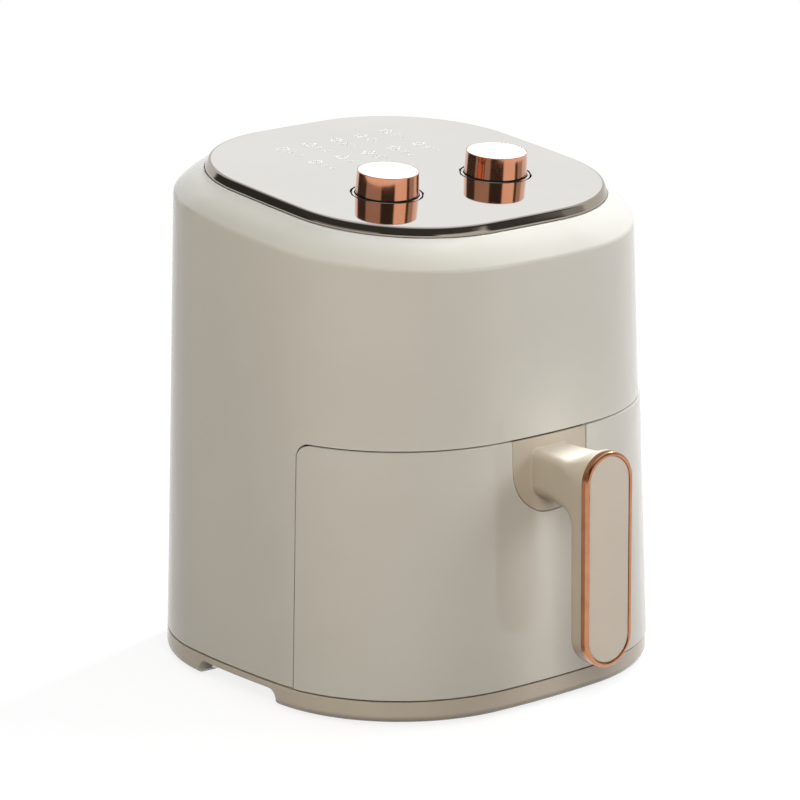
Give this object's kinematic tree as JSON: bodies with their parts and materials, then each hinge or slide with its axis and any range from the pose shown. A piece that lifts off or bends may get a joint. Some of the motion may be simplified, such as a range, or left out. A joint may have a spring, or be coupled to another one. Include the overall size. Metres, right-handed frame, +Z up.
{
  "type": "air fryer",
  "caption": "Upright rounded-square air fryer with a sloping mirror top, two copper dial knobs and a pull-out pan drawer with a vertical copper-trimmed handle.",
  "frame": {"origin": "centre of the footprint, handle included, on the surface that the feet stand on", "axes": "+Z up, -Y towards the front where the drawer opens, +X to the right for someone facing the front"},
  "size_m": [0.2604, 0.3168, 0.3077],
  "materials": {
    "body_cream": "glossy moulded cream plastic",
    "face_cream": "satin cream plastic",
    "panel_mirror": "silver mirror with bevelled edge",
    "copper_plate": "polished rose-copper plating",
    "cap_white": "glossy white",
    "foot_rubber": "black rubber",
    "silicone": "grey silicone",
    "pan_coating": "dark non-stick coating",
    "liner_steel": "aluminised sheet",
    "heater_steel": "oxidised heater tube",
    "spindle_steel": "bright steel",
    "screw_steel": "zinc plated",
    "fan_aluminium": "stamped sheet",
    "motor_steel": "rolled steel can",
    "inner_black": "black heat-proof plastic",
    "terminal_white": "white terminal plastic",
    "shield_board": "insulating board",
    "cutout_ceramic": "ceramic body"
  },
  "bodies": {
    "housing": {"outer_shell": "body_cream", "base_tray": "body_cream", "foot_pads": "foot_rubber", "base_screws": "screw_steel", "top_panel": "panel_mirror", "control_bracket": "liner_steel", "control_screws": "screw_steel", "thermostat_case": "inner_black", "timer_case": "inner_black", "timer_bell": "spindle_steel", "cavity_liner": "liner_steel", "front_frame": "inner_black", "drawer_rails": "inner_black", "heater_deck": "liner_steel", "heater_bowl": "liner_steel", "heating_element": "heater_steel", "heater_guard": "liner_steel", "heat_shield": "shield_board", "thermal_cutout": "cutout_ceramic", "motor_bracket": "liner_steel", "bracket_screws": "screw_steel", "motor": "motor_steel", "motor_screws": "screw_steel", "exhaust_duct": "inner_black", "rear_vent": "inner_black", "cord_gland": "inner_black", "terminal_block": "terminal_white", "interlock_switch": "inner_black"},
    "drawer": {"frying_pan": "pan_coating", "pan_bracket": "liner_steel", "drawer_backing": "inner_black", "front_screws": "screw_steel", "pan_screws": "screw_steel", "drawer_front": "body_cream", "handle_body": "body_cream", "handle_screws": "screw_steel", "handle_trim": "copper_plate", "handle_face": "face_cream"},
    "tray": {"crisper_tray": "pan_coating", "tray_bumpers": "silicone"},
    "timer": {"timer_knob": "copper_plate", "timer_cap": "cap_white", "timer_shaft": "spindle_steel"},
    "thermostat": {"thermostat_knob": "copper_plate", "thermostat_cap": "cap_white", "thermostat_shaft": "spindle_steel"},
    "rotor": {"motor_shaft": "spindle_steel", "cooling_fan": "fan_aluminium", "hot_air_fan": "fan_aluminium", "fan_nut": "spindle_steel"},
    "plunger": {"interlock_plunger": "inner_black"}
  },
  "joints": [
    {"name": "drawer_slide", "type": "slide", "parent": "housing", "child": "drawer", "axis": [0, -1, 0], "range_m": [0, 0.18]},
    {"name": "tray_lift", "type": "slide", "parent": "drawer", "child": "tray", "axis": [0, 0, 1], "range_m": [0, 0.1]},
    {"name": "timer_turn", "type": "hinge", "parent": "housing", "child": "timer", "pos_m": [0.041, -0.01087, 0.29252], "axis": [0, -0.0872, 0.9962], "range_deg": [-300, 0]},
    {"name": "thermostat_turn", "type": "hinge", "parent": "housing", "child": "thermostat", "pos_m": [-0.041, -0.01087, 0.29252], "axis": [0, -0.0872, 0.9962], "range_deg": [-270, 0]},
    {"name": "rotor_spin", "type": "hinge", "parent": "housing", "child": "rotor", "pos_m": [0, 0.0243, 0.2], "axis": [0, 0, 1], "continuous": true},
    {"name": "plunger_slide", "type": "slide", "parent": "housing", "child": "plunger", "axis": [0, -1, 0], "range_m": [0, 0.003]}
  ],
  "couplings": [
    {"joint": "plunger_slide", "follows": "drawer_slide", "ratio": 0.0165}
  ]
}
